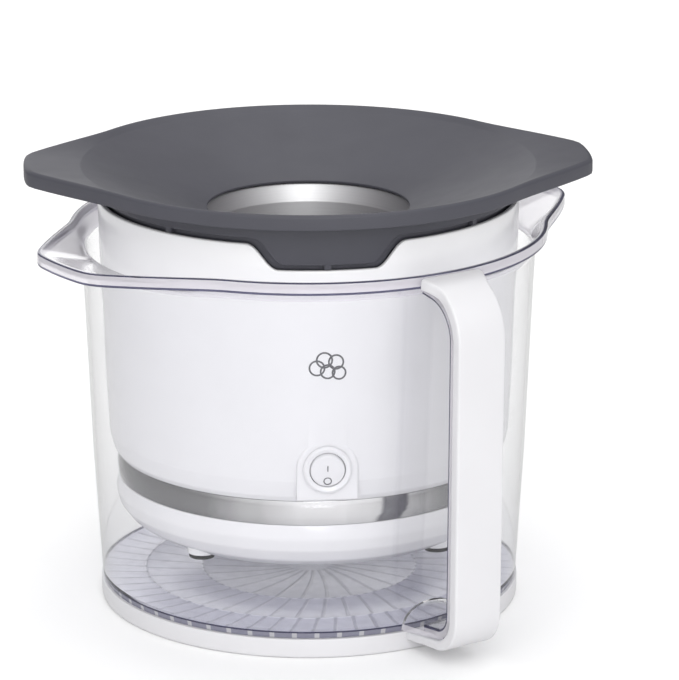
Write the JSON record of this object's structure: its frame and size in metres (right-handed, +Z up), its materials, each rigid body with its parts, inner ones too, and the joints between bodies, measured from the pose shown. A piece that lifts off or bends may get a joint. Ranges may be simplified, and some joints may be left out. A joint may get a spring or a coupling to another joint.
{
  "type": "hot air popcorn maker",
  "caption": "Hot-air popcorn popper with a dished cover tray, held over the clear serving bowl that it nests in; the bowl has pouring ears and a side handle.",
  "frame": {"origin": "on the bowl's upright axis, at the underside of the base plate", "axes": "+Z up; -Y is the popper's front, with the switch and the tray's tab; X runs through the tray's two ears"},
  "size_m": [0.2546, 0.2292, 0.2038],
  "materials": {
    "white_plastic": "glossy white moulding",
    "clear_plastic": "clear moulded plastic with a slight violet tint",
    "grey_plastic": "fine matte grey moulding",
    "dark_plastic": "black moulding",
    "polished_metal": "polished band",
    "chamber_metal": "turned and satin brushed",
    "steel": "plain steel",
    "mica": "mica board",
    "heater_wire": "resistance wire",
    "rubber": "soft black foot",
    "board": "circuit board",
    "wire_cover": "heatproof sleeve"
  },
  "bodies": {
    "bowl": {"base_and_handle": "white_plastic", "serving_bowl": "clear_plastic"},
    "popper": {"housing": "white_plastic", "trim_band": "polished_metal", "base_pan": "white_plastic", "upper_deck": "dark_plastic", "popping_chamber": "chamber_metal", "heat_shield": "steel", "fan_duct": "dark_plastic", "motor_mount": "steel", "motor_case": "steel", "motor_cap": "dark_plastic", "heater_frame": "mica", "heater_coil": "heater_wire", "thermostat": "steel", "thermal_fuse": "steel", "rectifier_board": "board", "switch_bezel": "clear_plastic", "switch_body": "dark_plastic", "cord_gland": "dark_plastic", "supply_lead": "wire_cover", "heater_lead": "wire_cover", "foot_1": "rubber", "foot_2": "rubber", "foot_3": "rubber", "foot_4": "rubber", "pan_screw_1": "steel", "pan_screw_2": "steel", "pan_screw_3": "steel", "pan_screw_4": "steel", "mount_screw_1": "steel", "mount_screw_2": "steel", "mount_screw_3": "steel"},
    "rotor": {"motor_shaft": "steel", "fan_impeller": "dark_plastic", "fan_nut": "steel"},
    "rocker": {"rocker": "white_plastic"},
    "cover": {"cover_tray": "grey_plastic"}
  },
  "joints": [
    {"name": "popper_lift", "type": "slide", "parent": "bowl", "child": "popper", "axis": [0, 0, 1], "range_m": [-0.0222, 0.16]},
    {"name": "cover_lift", "type": "slide", "parent": "popper", "child": "cover", "axis": [0, 0, 1], "range_m": [0, 0.08]},
    {"name": "rotor_spin", "type": "hinge", "parent": "popper", "child": "rotor", "pos_m": [0, 0, 0.0467], "axis": [0, 0, 1], "continuous": true},
    {"name": "switch_rock", "type": "hinge", "parent": "popper", "child": "rocker", "pos_m": [0, -0.0902, 0.086], "axis": [-1, 0, 0], "range_deg": [0, 20]}
  ]
}
